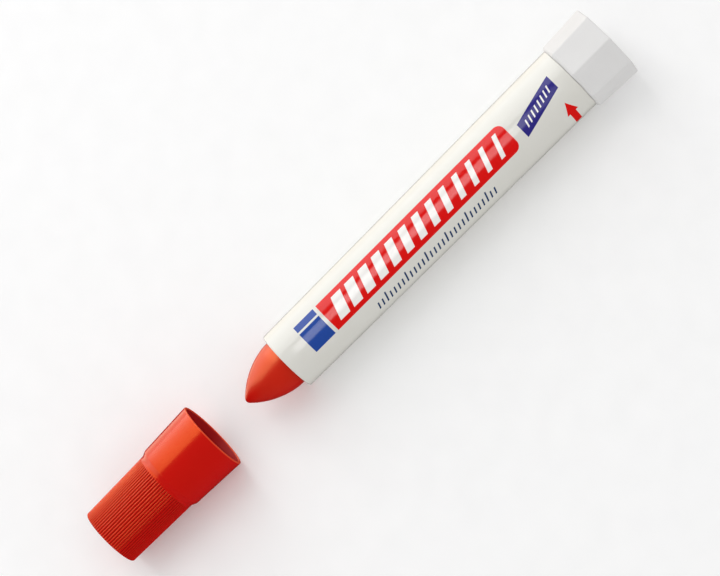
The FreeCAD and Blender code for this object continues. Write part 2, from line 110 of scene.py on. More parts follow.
# %% [markdown]
# The light comes from soft boxes. A short strip hangs beyond the camera and gives the barrel its narrow
# bright line. A tall box stands to the upper left and covers the side of every round piece that faces it,
# with a fairly crisp edge where its reflection ends. A photographer adds a long white card in the same
# place, which is seen mostly as a reflection, so it is a light that diffuse rays don't see. A white
# surrounding fills the shadows. Mirror-like rays find a black cloth there instead, which keeps the reds
# deep.

# %% Lights
def soft_box(name, angle, distance, length, height, brightness, shift=0.0, sheen_only=False):
    """A rectangular light along X, at an angle from straight above towards the camera's side."""
    data = bpy.data.lights.new(name, "AREA")
    data.shape = "RECTANGLE"
    data.size = length
    data.size_y = height
    data.energy = brightness * math.pi * length * height
    light = bpy.data.objects.new(name, data)
    bpy.context.scene.collection.objects.link(light)
    outward = Vector((0, -math.sin(angle), math.cos(angle)))
    across = Vector((1, 0, 0))
    turned = Matrix((across, outward.cross(across), outward)).transposed().to_4x4()
    light.matrix_world = Matrix.Translation(AIM + outward * distance + across * shift) @ turned
    light.visible_camera = False
    light.visible_diffuse = not sheen_only
    return light


STRIP_ANGLE = math.radians(16.0)
SIDE_ANGLE = math.radians(-50.0)
strip_light = soft_box(
    "strip_light",
    STRIP_ANGLE,
    distance=1.1,
    length=0.24,
    height=0.5,
    brightness=8.4,
    shift=-0.034,
    sheen_only=True,
)
soft_box("side_light", SIDE_ANGLE, distance=1.0, length=0.6, height=1.68, brightness=1.3, shift=-0.03)
soft_box(
    "side_card",
    SIDE_ANGLE,
    distance=1.02,
    length=1.9,
    height=1.71,
    brightness=2.6,
    shift=-0.6,
    sheen_only=True,
)
bpy.context.scene.view_settings.view_transform = "Standard"
print("lights", [item.name for item in bpy.data.lights])

# %% [markdown]
# Every finish is a small tree of shader nodes, so a few helpers keep them readable: one adds a node and
# wires its inputs, one writes a piece of arithmetic, and one starts a node group with named sockets.

# %% Node helpers
def put(socket, value):
    """Wires a socket or sets its number."""
    if isinstance(value, bpy.types.NodeSocket):
        socket.id_data.links.new(value, socket)
    else:
        socket.default_value = value


def add_node(tree, kind, inputs=None, **settings):
    """A new node with its settings and inputs."""
    node = tree.nodes.new(kind)
    for name, value in settings.items():
        setattr(node, name, value)
    for name, value in (inputs or {}).items():
        put(node.inputs[name], value)
    return node


def calc(tree, operation, first, second=0.0, third=0.0):
    """One step of arithmetic between sockets or numbers."""
    return add_node(tree, "ShaderNodeMath", {0: first, 1: second, 2: third}, operation=operation).outputs[0]


def blend_colors(tree, factor, first, second):
    """A mix of two colours by a mask."""
    node = add_node(tree, "ShaderNodeMix", data_type="RGBA")
    for name, value in (("Factor_Float", factor), ("A_Color", first), ("B_Color", second)):
        socket = next(item for item in node.inputs if item.identifier == name)
        put(socket, value)
    return next(item for item in node.outputs if item.identifier == "Result_Color")


def new_group(name, inputs, outputs):
    """A shader node group with float sockets, its input node and its output node."""
    group = bpy.data.node_groups.new(name, "ShaderNodeTree")
    for label, value in inputs.items():
        socket = group.interface.new_socket(label, in_out="INPUT", socket_type="NodeSocketFloat")
        socket.default_value = value
    for label in outputs:
        group.interface.new_socket(label, in_out="OUTPUT", socket_type="NodeSocketFloat")
    return group, group.nodes.new("NodeGroupInput").outputs, group.nodes.new("NodeGroupOutput").inputs


def use_group(tree, group, **inputs):
    """A node group placed in a tree, its inputs named with underscores for spaces."""
    node = add_node(tree, "ShaderNodeGroup", node_tree=group)
    for name, value in inputs.items():
        put(node.inputs[name.replace("_", " ")], value)
    return node.outputs


def tone(text):
    """A colour from its web notation, as linear light."""
    parts = [int(text[start:start + 2], 16) / 255 for start in (1, 3, 5)]
    return [part / 12.92 if part <= 0.04045 else ((part + 0.055) / 1.055) ** 2.4 for part in parts] + [1]


print("the paint's red is", [round(part, 3) for part in tone("#DA110C")])

# %% [markdown]
# The surrounding is white for soft light and for the camera, and nearly black for mirror-like rays, as a
# black cloth is in a real studio. The world's shader can tell these apart with the Light Path node. Only
# low down behind the marker do mirror-like rays find the faint warm glow of the sheet that it lies on.

# %% Surrounding
FILL_LIGHT = 0.75
BLACK_CLOTH = 0.03
SHEET_GLOW = 1.9
SHEET_END = -0.6
SHEET_WARMTH = (1.0, 0.86, 0.68, 1.0)
BACKDROP = 0.98


def studio_world():
    """White for soft light and the camera, dark for mirror-like rays, with the sheet's glow low down."""
    world = bpy.data.worlds.new("studio")
    world.use_nodes = True
    tree = world.node_tree
    ray = add_node(tree, "ShaderNodeLightPath").outputs
    looked = add_node(tree, "ShaderNodeTexCoord").outputs["Generated"]
    direction = add_node(tree, "ShaderNodeSeparateXYZ", {0: looked}).outputs
    behind = calc(tree, "GREATER_THAN", direction[1], 0.0)
    below = calc(tree, "LESS_THAN", direction[2], 0.0)
    beyond = calc(tree, "GREATER_THAN", direction[2], SHEET_END)
    seen_sheet = calc(tree, "MULTIPLY", behind, calc(tree, "MULTIPLY", below, beyond))
    sheet = calc(tree, "MULTIPLY", seen_sheet, SHEET_GLOW)
    mirrored = calc(tree, "ADD", sheet, BLACK_CLOTH - FILL_LIGHT)
    glossy = calc(tree, "MULTIPLY", ray["Is Glossy Ray"], mirrored)
    seen = calc(tree, "MULTIPLY", ray["Is Camera Ray"], BACKDROP - FILL_LIGHT)
    strength = calc(tree, "ADD", calc(tree, "ADD", glossy, seen), FILL_LIGHT)
    put(tree.nodes["Background"].inputs["Strength"], strength)
    color = blend_colors(tree, ray["Is Glossy Ray"], (1, 1, 1, 1), SHEET_WARMTH)
    put(tree.nodes["Background"].inputs["Color"], color)
    return world


bpy.context.scene.world = studio_world()
print("fill light", FILL_LIGHT)

# %% [markdown]
# Moulded plastic is never quite even. Its skin has a very fine grain, it dips a little where thick walls
# shrank, and its gloss varies where it was handled. One group makes all three, for every plastic here. It is
# made of noise in three dimensions, which has no seam and needs no map of the surface.

# %% Group: moulded skin
CLOUDS_PER_METRE = 130.0
SMEARS_PER_METRE = 420.0
CLOUD_HEIGHT = 0.6


def moulded_skin():
    """Roughness with handling marks, the height of grain and dips, and a cloud to shade colours with."""
    group, given, result = new_group(
        "moulded_skin",
        {"Grain Size": 0.00012, "Roughness": 0.3, "Unevenness": 0.05},
        ("Roughness", "Height", "Cloud"),
    )
    place = add_node(group, "ShaderNodeTexCoord").outputs["Object"]
    fineness = calc(group, "DIVIDE", 1.0, given["Grain Size"])
    grains = {"Vector": place, "Scale": fineness, "Detail": 2.0}
    grain = add_node(group, "ShaderNodeTexNoise", grains).outputs[0]
    clouds = {"Vector": place, "Scale": CLOUDS_PER_METRE, "Detail": 3.0}
    cloud = add_node(group, "ShaderNodeTexNoise", clouds).outputs[0]
    smears = {"Vector": place, "Scale": SMEARS_PER_METRE, "Detail": 4.0, "Distortion": 0.6}
    handling = add_node(group, "ShaderNodeTexNoise", smears).outputs[0]
    spread = calc(group, "MULTIPLY", calc(group, "SUBTRACT", handling, 0.5), given["Unevenness"])
    put(result["Roughness"], calc(group, "ADD", given["Roughness"], spread))
    put(result["Height"], calc(group, "MULTIPLY_ADD", cloud, CLOUD_HEIGHT, grain))
    put(result["Cloud"], cloud)
    return group


SKIN = moulded_skin()
print("group", SKIN.name)

# %% [markdown]
# The print on the barrel is flat shapes in ink. Each shape is worked out from a place on the barrel's skin:
# how far along the axis, and how far around. A distance to the shape's edge becomes a crisp mask, so the
# print stays sharp at any size. One group makes a field with rounded corners, which can lean or climb.

# %% Group: printed field
INK_EDGE = 0.05 * MM


def distance_to_mask(group, distance):
    """One inside a shape, nought outside, over the width of an ink edge."""
    node = calc(group, "SUBTRACT", 0.5, calc(group, "DIVIDE", distance, INK_EDGE)).node
    node.use_clamp = True
    return node.outputs[0]


def printed_field():
    """The mask of one field, from a place and the field's middle, half sizes, corners and slant."""
    group, given, result = new_group(
        "printed_field",
        {
            "Along": 0.0,
            "Around": 0.0,
            "Middle Along": 0.0,
            "Middle Around": 0.0,
            "Half Length": 0.01,
            "Half Height": 0.004,
            "Corner": 0.0,
            "Lean": 0.0,
            "Climb": 0.0,
        },
        ("Mask",),
    )
    run = calc(group, "SUBTRACT", given["Along"], given["Middle Along"])
    turn = calc(group, "SUBTRACT", given["Around"], given["Middle Around"])
    leaned = calc(group, "SUBTRACT", run, calc(group, "MULTIPLY", given["Lean"], turn))
    climbed = calc(group, "SUBTRACT", turn, calc(group, "MULTIPLY", given["Climb"], run))
    past = []
    for place, half in ((leaned, given["Half Length"]), (climbed, given["Half Height"])):
        inner = calc(group, "SUBTRACT", half, given["Corner"])
        past.append(calc(group, "SUBTRACT", calc(group, "ABSOLUTE", place), inner))
    outside = [calc(group, "MAXIMUM", item, 0.0) for item in past]
    squares = [calc(group, "MULTIPLY", item, item) for item in outside]
    reach = calc(group, "SQRT", calc(group, "ADD", *squares))
    within = calc(group, "MINIMUM", calc(group, "MAXIMUM", *past), 0.0)
    distance = calc(group, "SUBTRACT", calc(group, "ADD", reach, within), given["Corner"])
    put(result["Mask"], distance_to_mask(group, distance))
    return group


FIELD = printed_field()
print("group", FIELD.name)

# %% [markdown]
# Rows of slanted bars repeat one field at an even pitch, so a second group folds the place into one pitch
# and lets the bars grow or shrink from the first to the last.

# %% Group: printed bars
def printed_bars():
    """The mask of a row of bars, from a place and the row's start, pitch, count, widths and slant."""
    group, given, result = new_group(
        "printed_bars",
        {
            "Along": 0.0,
            "Around": 0.0,
            "Start": 0.0,
            "Pitch": 0.005,
            "Count": 10.0,
            "First Width": 0.003,
            "Last Width": 0.003,
            "Low": 0.0,
            "High": 0.004,
            "Lean": 0.0,
        },
        ("Mask",),
    )
    middle = calc(group, "MULTIPLY", calc(group, "ADD", given["Low"], given["High"]), 0.5)
    half_height = calc(group, "MULTIPLY", calc(group, "SUBTRACT", given["High"], given["Low"]), 0.5)
    turn = calc(group, "SUBTRACT", given["Around"], middle)
    run = calc(group, "SUBTRACT", given["Along"], given["Start"])
    run = calc(group, "SUBTRACT", run, calc(group, "MULTIPLY", given["Lean"], turn))
    steps = calc(group, "DIVIDE", run, given["Pitch"])
    index = calc(group, "FLOOR", steps)
    share = calc(group, "DIVIDE", index, calc(group, "SUBTRACT", given["Count"], 1.0))
    growth = calc(group, "SUBTRACT", given["Last Width"], given["First Width"])
    half = calc(group, "MULTIPLY", calc(group, "MULTIPLY_ADD", share, growth, given["First Width"]), 0.5)
    fold = calc(group, "ABSOLUTE", calc(group, "SUBTRACT", calc(group, "SUBTRACT", steps, index), 0.5))
    across = calc(group, "SUBTRACT", calc(group, "MULTIPLY", fold, given["Pitch"]), half)
    ends = calc(group, "SUBTRACT", calc(group, "ABSOLUTE", turn), half_height)
    mask = distance_to_mask(group, calc(group, "MAXIMUM", across, ends))
    started = calc(group, "GREATER_THAN", index, -0.5)
    ended = calc(group, "LESS_THAN", index, calc(group, "SUBTRACT", given["Count"], 0.5))
    put(result["Mask"], calc(group, "MULTIPLY", calc(group, "MULTIPLY", mask, started), ended))
    return group


BARS = printed_bars()
print("group", BARS.name)

# %% [markdown]
# A material is one Principled shader. This helper starts it with the constant values on the shader's own
# sockets and adds the moulded skin. It hands back the tree, so each finish below only says what is its own.

# %% Material helper
RELIEF_HEIGHT = 0.02 * MM
CLOUD_SHADE = 0.93


def plastic(name, color, roughness, grain=0.00012, bump=0.05, uneven=0.06, **constants):
    """A moulded plastic. Returns the material, its tree, its shader and the skin's outputs."""
    material = bpy.data.materials.new(name)
    material.use_nodes = True
    tree = material.node_tree
    shader = tree.nodes["Principled BSDF"]
    for label, value in constants.items():
        shader.inputs[label.replace("_", " ")].default_value = value
    skin = use_group(tree, SKIN, Grain_Size=grain, Roughness=roughness, Unevenness=uneven)
    put(shader.inputs["Roughness"], skin["Roughness"])
    heights = {"Height": skin["Height"], "Strength": bump, "Distance": RELIEF_HEIGHT}
    put(shader.inputs["Normal"], add_node(tree, "ShaderNodeBump", heights).outputs[0])
    if color is not None:
        darker = [part * CLOUD_SHADE for part in color[:3]] + [1]
        put(shader.inputs["Base Color"], blend_colors(tree, skin["Cloud"], darker, color))
    return material, tree, shader, skin


INNER_WHITE = plastic("inner_white", tone("#E2E0D8"), roughness=0.45)[0]
KNOB_WHITE = plastic("knob_white", tone("#EBEAE9"), roughness=0.42, bump=0.06, Specular_IOR_Level=0.12)[0]
SEAL_BLACK = plastic("seal_black", tone("#1B1B1C"), roughness=0.55, bump=0.1)[0]
print("plain plastics made")

# %% [markdown]
# The barrel's print, in places measured along the axis and around the skin from the line that faces the
# camera: a red band with rounded corners at the knob's end, a plain blue field in front of it, slanted white
# bars in the band, a fine slanted scale below it, a small blue tag, and the red arrow that shows which way
# to turn. The inks are laid over each other one by one, each through its own mask.

# %% Material: printed barrel
BAND_LEFT = -10.8 * MM
BAND_RIGHT = 60.3 * MM
BAND_LOW = -5.43 * MM
BAND_HIGH = 4.15 * MM
BAND_CORNER = 2.3 * MM
SQUARE_END = 3 * BAND_CORNER
BARS_LEFT = -8.0 * MM
BARS_PITCH = 5.1 * MM
BARS_COUNT = 13
BARS_MARGIN = 1.5 * MM
BARS_LEAN = -0.35
FIRST_BAR_WIDTH = 3.6 * MM
LAST_BAR_WIDTH = 1.5 * MM
BLOCK_LEFT = -19.4 * MM
BLOCK_RIGHT = -11.9 * MM
STRIPE_LOW = -3.33 * MM
STRIPE_WIDTH = 0.6 * MM
SCALE_LEFT = 1.0 * MM
SCALE_PITCH = 1.55 * MM
SCALE_COUNT = 30
SCALE_LOW = 7.0 * MM
SCALE_HIGH = 9.6 * MM
SCALE_TALL = 5.9 * MM
SCALE_GROUP = 5
STROKE_WIDTH = 0.5 * MM
STROKE_LEAN = -0.25
TAG_LEFT = 63.35 * MM
TAG_RIGHT = 78.55 * MM
TAG_HALF_HEIGHT = 2.35 * MM
TAG_MIDDLE = -0.83 * MM
TAG_CLIMB = -0.26
TAG_MARK_HALF = 1.0 * MM
TAG_MARK_PITCH = 1.5 * MM
TAG_MARKS = 8
ARROW_X = 76.85 * MM
ARROW_TIP = 3.8 * MM
ARROW_BARB = 7.95 * MM
ARROW_TAIL = 13.7 * MM
ARROW_HALF_WIDTH = 1.95 * MM
ARROW_SHAFT_HALF = 1.04 * MM


def field_between(tree, place, left, right, low, high, corner=0.0, climb=0.0):
    """A printed field between two places along and two around."""
    return use_group(
        tree,
        FIELD,
        Along=place[0],
        Around=place[1],
        Middle_Along=(left + right) / 2,
        Middle_Around=(low + high) / 2,
        Half_Length=(right - left) / 2,
        Half_Height=(high - low) / 2,
        Corner=corner,
        Climb=climb,
    )["Mask"]


def strokes_between(tree, run, turn, start, pitch, count, low, high):
    """A row of slanted strokes, all of one width."""
    return use_group(
        tree,
        BARS,
        Along=run,
        Around=turn,
        Start=start,
        Pitch=pitch,
        Count=float(count),
        First_Width=STROKE_WIDTH,
        Last_Width=STROKE_WIDTH,
        Low=low,
        High=high,
        Lean=STROKE_LEAN,
    )["Mask"]


def printed_barrel():
    """Glossy white with every printed shape laid over it."""
    material, tree, shader, skin = plastic(
        "barrel_printed",
        None,
        roughness=0.13,
        grain=0.00016,
        bump=0.015,
        uneven=0.03,
        Specular_IOR_Level=0.24,
    )
    skin_map = add_node(tree, "ShaderNodeUVMap", uv_map="skin").outputs[0]
    place = add_node(tree, "ShaderNodeSeparateXYZ", {0: skin_map}).outputs
    round_band = field_between(tree, place, BAND_LEFT, BAND_RIGHT, BAND_LOW, BAND_HIGH, BAND_CORNER)
    square_band = field_between(tree, place, BAND_LEFT, BAND_LEFT + SQUARE_END, BAND_LOW, BAND_HIGH)
    band = calc(tree, "MAXIMUM", round_band, square_band)
    block = field_between(tree, place, BLOCK_LEFT, BLOCK_RIGHT, BAND_LOW, BAND_HIGH)
    stripe = field_between(tree, place, BLOCK_LEFT, BLOCK_RIGHT, STRIPE_LOW, STRIPE_LOW + STRIPE_WIDTH)
    bars = use_group(
        tree,
        BARS,
        Along=place[0],
        Around=place[1],
        Start=BARS_LEFT,
        Pitch=BARS_PITCH,
        Count=float(BARS_COUNT),
        First_Width=FIRST_BAR_WIDTH,
        Last_Width=LAST_BAR_WIDTH,
        Low=BAND_LOW + BARS_MARGIN,
        High=BAND_HIGH - BARS_MARGIN,
        Lean=BARS_LEAN,
    )["Mask"]
    scale = strokes_between(
        tree, place[0], place[1], SCALE_LEFT, SCALE_PITCH, SCALE_COUNT, SCALE_LOW, SCALE_HIGH
    )
    tall_left = SCALE_LEFT + STROKE_LEAN * (SCALE_TALL - SCALE_LOW) / 2
    tall = strokes_between(
        tree,
        place[0],
        place[1],
        tall_left,
        SCALE_PITCH * SCALE_GROUP,
        SCALE_COUNT // SCALE_GROUP,
        SCALE_TALL,
        SCALE_HIGH,
    )
    tag_edges = TAG_LEFT, TAG_RIGHT, TAG_MIDDLE - TAG_HALF_HEIGHT, TAG_MIDDLE + TAG_HALF_HEIGHT
    tag = field_between(tree, place, *tag_edges, climb=TAG_CLIMB)
    tag_run = calc(tree, "SUBTRACT", place[0], (TAG_LEFT + TAG_RIGHT) / 2)
    tag_turn = calc(tree, "SUBTRACT", place[1], calc(tree, "MULTIPLY", tag_run, TAG_CLIMB))
    tag_marks = strokes_between(
        tree,
        place[0],
        tag_turn,
        (TAG_LEFT + TAG_RIGHT - TAG_MARKS * TAG_MARK_PITCH) / 2,
        TAG_MARK_PITCH,
        TAG_MARKS,
        TAG_MIDDLE - TAG_MARK_HALF,
        TAG_MIDDLE + TAG_MARK_HALF,
    )
    reach = calc(tree, "SUBTRACT", place[1], ARROW_TIP)
    width = calc(tree, "MULTIPLY", reach, ARROW_HALF_WIDTH / (ARROW_BARB - ARROW_TIP))
    off = calc(tree, "ABSOLUTE", calc(tree, "SUBTRACT", place[0], ARROW_X))
    beside = calc(tree, "SUBTRACT", off, width)
    beyond = calc(tree, "SUBTRACT", place[1], ARROW_BARB)
    head = distance_to_mask(tree, calc(tree, "MAXIMUM", beside, beyond))
    shaft_edges = ARROW_X - ARROW_SHAFT_HALF, ARROW_X + ARROW_SHAFT_HALF, ARROW_BARB - INK_EDGE, ARROW_TAIL
    arrow = calc(tree, "MAXIMUM", head, field_between(tree, place, *shaft_edges))

    white = tone("#E4E3DD")
    shaded_white = tone("#E0DED6")
    ink_white = tone("#F8F5F2")
    red = tone("#E21412")
    blue = tone("#274B9F")
    indigo = tone("#322C82")
    dark_blue = tone("#1D3A66")
    color = blend_colors(tree, skin["Cloud"], shaded_white, white)
    for mask, ink in (
        (band, red),
        (bars, ink_white),
        (block, blue),
        (stripe, white),
        (scale, dark_blue),
        (tall, dark_blue),
        (tag, indigo),
        (tag_marks, ink_white),
        (arrow, red),
    ):
        color = blend_colors(tree, mask, color, ink)
    put(shader.inputs["Base Color"], color)
    return material


BARREL_PRINTED = printed_barrel()
BARREL_WHITE = plastic("barrel_white", tone("#E8E6DF"), roughness=0.3)[0]
print("barrel print made")

# %% [markdown]
# The paint is a solid, waxy mass: even in colour and softly shining. A plain red would look like one more
# plastic. So the shader lets a little light into the skin and out again, over a fraction of a millimetre,
# and tints the wide, soft reflection as pigment in wax does.

# %% Material: solid paint
SOLID_PAINT = plastic(
    "solid_paint",
    tone("#DA110C"),
    roughness=0.3,
    grain=0.0003,
    bump=0.05,
    uneven=0.06,
    IOR=1.56,
    Specular_IOR_Level=0.92,
    Specular_Tint=(1.0, 0.5, 0.19, 1.0),
    Subsurface_Weight=0.12,
    Subsurface_Scale=0.0006,
    Subsurface_Radius=(1.0, 0.25, 0.12),
)[0]
print("paint made")

# %% [markdown]
# The round pieces are profiles turned about the axis. A profile is a list of corners, and a helper makes a
# short arc of each one that has a rounding, so that the edges catch the light as moulded ones do. Blender's
# Screw modifier could turn them as well. Here the turning is written out, because it can then sink the skin
# where grooves and ribs are, and lay a map on it that holds metres along and around, which the print needs.
# A hair is the smallest distance that counts.

# %% Lathe helpers
HAIR = 0.01 * MM


def rounded(corners, steps=5):
    """An outline whose corners (place along, distance from the axis, rounding) become short arcs."""
    points = []
    count = len(corners)
    for step in range(count):
        here = Vector(corners[step][:2])
        rounding = corners[step][2] if len(corners[step]) > 2 else 0
        if not rounding or step in (0, count - 1):
            points.append(here)
            continue
        before = (Vector(corners[step - 1][:2]) - here).normalized()
        after = (Vector(corners[step + 1][:2]) - here).normalized()
        half = before.angle(after) / 2
        reach = rounding / math.tan(half)
        start = here + before * reach
        end = here + after * reach
        middle = here + (before + after).normalized() * rounding / math.sin(half)
        first = start - middle
        last = end - middle
        swing = first.angle_signed(last)
        for part in range(steps + 1):
            share = -swing * part / steps
            turned = Vector((
                first.x * math.cos(share) - first.y * math.sin(share),
                first.x * math.sin(share) + first.y * math.cos(share),
            ))
            points.append(middle + turned)
    return points


def divided(points, longest):
    """The same outline with its long straight stretches divided."""
    result = [points[0]]
    for start, end in zip(points, points[1:]):
        parts = max(1, math.ceil((end - start).length / longest))
        result += [start.lerp(end, part / parts) for part in range(1, parts + 1)]
    return result


def one_finish(start, end):
    """The whole piece has its first material."""
    return 0


def plain_skin(place, turn):
    """The skin sinks nowhere."""
    return 0.0


def lathe(name, profile, around, materials, zone=one_finish, depth=plain_skin):
    """A closed outline turned once about the marker's axis. Its skin map holds metres along and around."""
    mesh = bpy.data.meshes.new(name)
    shape = bmesh.new()
    layer = shape.loops.layers.uv.new("skin")
    rings = []
    for point in profile:
        if point.y < HAIR:
            rings.append([shape.verts.new((point.x, 0, AXIS_Z))])
            continue
        ring = []
        for step in range(around):
            turn = math.tau * step / around - math.pi
            radius = point.y - depth(point, turn)
            world = turn + CAMERA_SIDE
            spot = (point.x, -radius * math.sin(world), AXIS_Z + radius * math.cos(world))
            ring.append(shape.verts.new(spot))
        rings.append(ring)
    for row in range(len(profile) - 1):
        lower, upper = rings[row], rings[row + 1]
        if len(lower) == len(upper) == 1:
            continue
        slot = zone(profile[row], profile[row + 1])
        for step in range(around):
            corners = []
            for ring, point, offset in (
                (lower, profile[row], 0),
                (lower, profile[row], 1),
                (upper, profile[row + 1], 1),
                (upper, profile[row + 1], 0),
            ):
                if len(ring) == 1 and offset:
                    continue
                vertex = ring[(step + offset) % len(ring)]
                turn = math.tau * (step + offset) / around - math.pi
                corners.append((vertex, (point.x, turn * point.y)))
            face = shape.faces.new([vertex for vertex, _ in corners])
            face.smooth = True
            face.material_index = slot
            for loop, (_, place) in zip(face.loops, corners):
                loop[layer].uv = place
    bmesh.ops.recalc_face_normals(shape, faces=shape.faces)
    shape.to_mesh(mesh)
    shape.free()
    piece = bpy.data.objects.new(name, mesh)
    bpy.context.scene.collection.objects.link(piece)
    for material in materials:
        mesh.materials.append(material)
    print(name, len(mesh.polygons), "faces")
    return piece


# %% [markdown]
# The barrel is a moulded tube that swells towards the knob. Its front rim is softly rounded, its rear has
# the stepped neck under the knob, and four grooves run inside it for the keys of the carrier. One closed
# outline runs along the outside and back through the bore, so the wall is as thick as the real one wherever
# it is seen. The grooves push the bore outward at four places, so nothing has to be cut.

# %% Piece: barrel
FRONT_RADIUS = 9.4 * MM
REAR_RADIUS = (BARREL_HIGH.z - BARREL_LOW.z) / 2
BORE_RADIUS = 7.6 * MM
NECK_LENGTH = 9.0 * MM
NECK_RADIUS = 9.2 * MM
SEAT_RADIUS = 8.4 * MM
SEAT_DEPTH = 6.0 * MM
RIM_MIDDLE = 8.3 * MM
BEAD_PLACE = 5.5 * MM
BEAD_HALF = 0.7 * MM
BEAD_HEIGHT = 0.3 * MM
SHOULDER = NECK_END - NECK_LENGTH
GROOVE_FRONT = 7.15 * MM
GROOVE_DEPTH = 0.62 * MM
GROOVE_HALF = 0.92 * MM
GROOVES = 4
BARREL_AROUND = 256
RIM_ROUNDING = 0.5 * MM
SHOULDER_ROUNDING = 0.12 * MM
NECK_ROUNDING = 0.1 * MM
NECK_END_ROUNDING = 0.15 * MM
BORE_ROUNDING = 0.25 * MM


def groove_depth(point, turn):
    """How far the bore's wall moves inward here: less than nought in a key groove."""
    in_bore = abs(point.y - BORE_RADIUS) < HAIR
    if not in_bore or point.x <= GROOVE_FRONT:
        return 0.0
    world = turn + CAMERA_SIDE
    nearest = (world + math.pi / GROOVES) % (math.tau / GROOVES) - math.pi / GROOVES
    return -GROOVE_DEPTH if abs(nearest) * BORE_RADIUS < GROOVE_HALF else 0.0


def barrel_zone(start, end):
    """Nought for the printed outside, one for the neck and the bore."""
    outside = max(start.x, end.x) <= SHOULDER and min(start.y, end.y) > RIM_MIDDLE
    return 0 if outside else 1


barrel_profile = rounded([
    (RIM, RIM_MIDDLE),
    (RIM, FRONT_RADIUS, RIM_ROUNDING),
    (SHOULDER, REAR_RADIUS, SHOULDER_ROUNDING),
    (SHOULDER, NECK_RADIUS, NECK_ROUNDING),
    (SHOULDER + BEAD_PLACE - BEAD_HALF, NECK_RADIUS, NECK_ROUNDING),
    (SHOULDER + BEAD_PLACE, NECK_RADIUS + BEAD_HEIGHT, NECK_ROUNDING),
    (SHOULDER + BEAD_PLACE + BEAD_HALF, NECK_RADIUS, NECK_ROUNDING),
    (NECK_END, NECK_RADIUS, NECK_END_ROUNDING),
    (NECK_END, SEAT_RADIUS, NECK_ROUNDING),
    (NECK_END - SEAT_DEPTH, SEAT_RADIUS),
    (NECK_END - SEAT_DEPTH, BORE_RADIUS),
    (GROOVE_FRONT + HAIR, BORE_RADIUS),
    (GROOVE_FRONT, BORE_RADIUS),
    (RIM, BORE_RADIUS, BORE_ROUNDING),
    (RIM, RIM_MIDDLE),
])
barrel_profile = divided(barrel_profile, longest=5 * MM)
barrel_finishes = [BARREL_PRINTED, BARREL_WHITE]
barrel = lathe("barrel_skin", barrel_profile, BARREL_AROUND, barrel_finishes, barrel_zone, groove_depth)
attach(barrel, "barrel")
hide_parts("barrel")

# %% [markdown]
# The strip light is there for the glossy barrel alone. Light linking keeps it off the cap and the paint,
# where its far end would leave a stray spot.

# %% Link the strip light
lit_by_strip = bpy.data.collections.new("lit_by_strip")
lit_by_strip.objects.link(barrel)
strip_light.light_linking.receiver_collection = lit_by_strip

# %% [markdown]
# The stick of paint is a plain round bar inside the barrel. Its visible nose is three arcs that run into
# each other: a soft shoulder, a long flank and a small round tip. As the knob feeds it forward, the paint
# is used up at the tip, so the stick grows shorter towards its rear end and its tip stays where it was.

# %% Piece: paint stick
STICK_RADIUS = (STICK_HIGH.z - STICK_LOW.z) / 2
NOSE_RADIUS = 1.4 * MM
FLANK_RADIUS = 23 * MM
SHOULDER_RADIUS = 12 * MM
SHOULDER_TURN = math.radians(9.0)
STICK_AROUND = 192
NOSE_STEPS = 10
FLANK_STEPS = 16
SHOULDER_STEPS = 8
HOLE_RADIUS = 3.15 * MM
HOLE_FRONT = 3.05 * MM
SPIGOT_RADIUS = 6.65 * MM
SPIGOT_LENGTH = 3.0 * MM


def arc_points(middle, radius, first, last, steps):
    """Points on an arc, each angle measured from straight out of the axis towards the tip."""
    points = []
    for step in range(steps + 1):
        angle = first + (last - first) * step / steps
        points.append(middle + Vector((-radius * math.sin(angle), radius * math.cos(angle))))
    return points


def stick_profile():
    """The stick's outline from its tip to the end of its spigot and back along its hole."""
    fall = SHOULDER_RADIUS * (1 - math.cos(SHOULDER_TURN))
    lean = math.cos(SHOULDER_TURN)
    nose_turn = math.acos((STICK_RADIUS - fall - FLANK_RADIUS * lean) / (NOSE_RADIUS - FLANK_RADIUS))
    nose_middle = Vector((APEX + NOSE_RADIUS, 0))
    toward_flank = Vector((math.sin(nose_turn), -math.cos(nose_turn)))
    flank_middle = nose_middle + toward_flank * (FLANK_RADIUS - NOSE_RADIUS)
    toward_shoulder = Vector((-math.sin(SHOULDER_TURN), math.cos(SHOULDER_TURN)))
    shoulder_middle = flank_middle + toward_shoulder * (FLANK_RADIUS - SHOULDER_RADIUS)
    nose = arc_points(nose_middle, NOSE_RADIUS, math.pi / 2, nose_turn, NOSE_STEPS)
    flank = arc_points(flank_middle, FLANK_RADIUS, nose_turn, SHOULDER_TURN, FLANK_STEPS)
    shoulder = arc_points(shoulder_middle, SHOULDER_RADIUS, SHOULDER_TURN, 0, SHOULDER_STEPS)
    rear = STICK_HIGH.x
    straight = [
        Vector((rear - SPIGOT_LENGTH, STICK_RADIUS)),
        Vector((rear - SPIGOT_LENGTH, SPIGOT_RADIUS)),
        Vector((rear, SPIGOT_RADIUS)),
        Vector((rear, HOLE_RADIUS)),
        Vector((HOLE_FRONT, HOLE_RADIUS)),
        Vector((HOLE_FRONT, 0)),
    ]
    nose[0].y = 0
    return nose[:-1] + flank[:-1] + shoulder + straight


stick = lathe("paint_bullet", divided(stick_profile(), longest=5 * MM), STICK_AROUND, [SOLID_PAINT])
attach(stick, "stick")
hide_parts("paint_stick")
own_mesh(stick)

# %% [markdown]
# The cap is one moulding: a small grip with 72 fine ribs, a short slope, and a wider skirt that flares to
# its mouth. Inside, a straight land grips the barrel and a step stops it. The ribs are cut into the turned
# shape by pulling the skin in between them, so that each has a round crest and meets its neighbour in a
# sharp valley. They end in a plain collar before the slope.

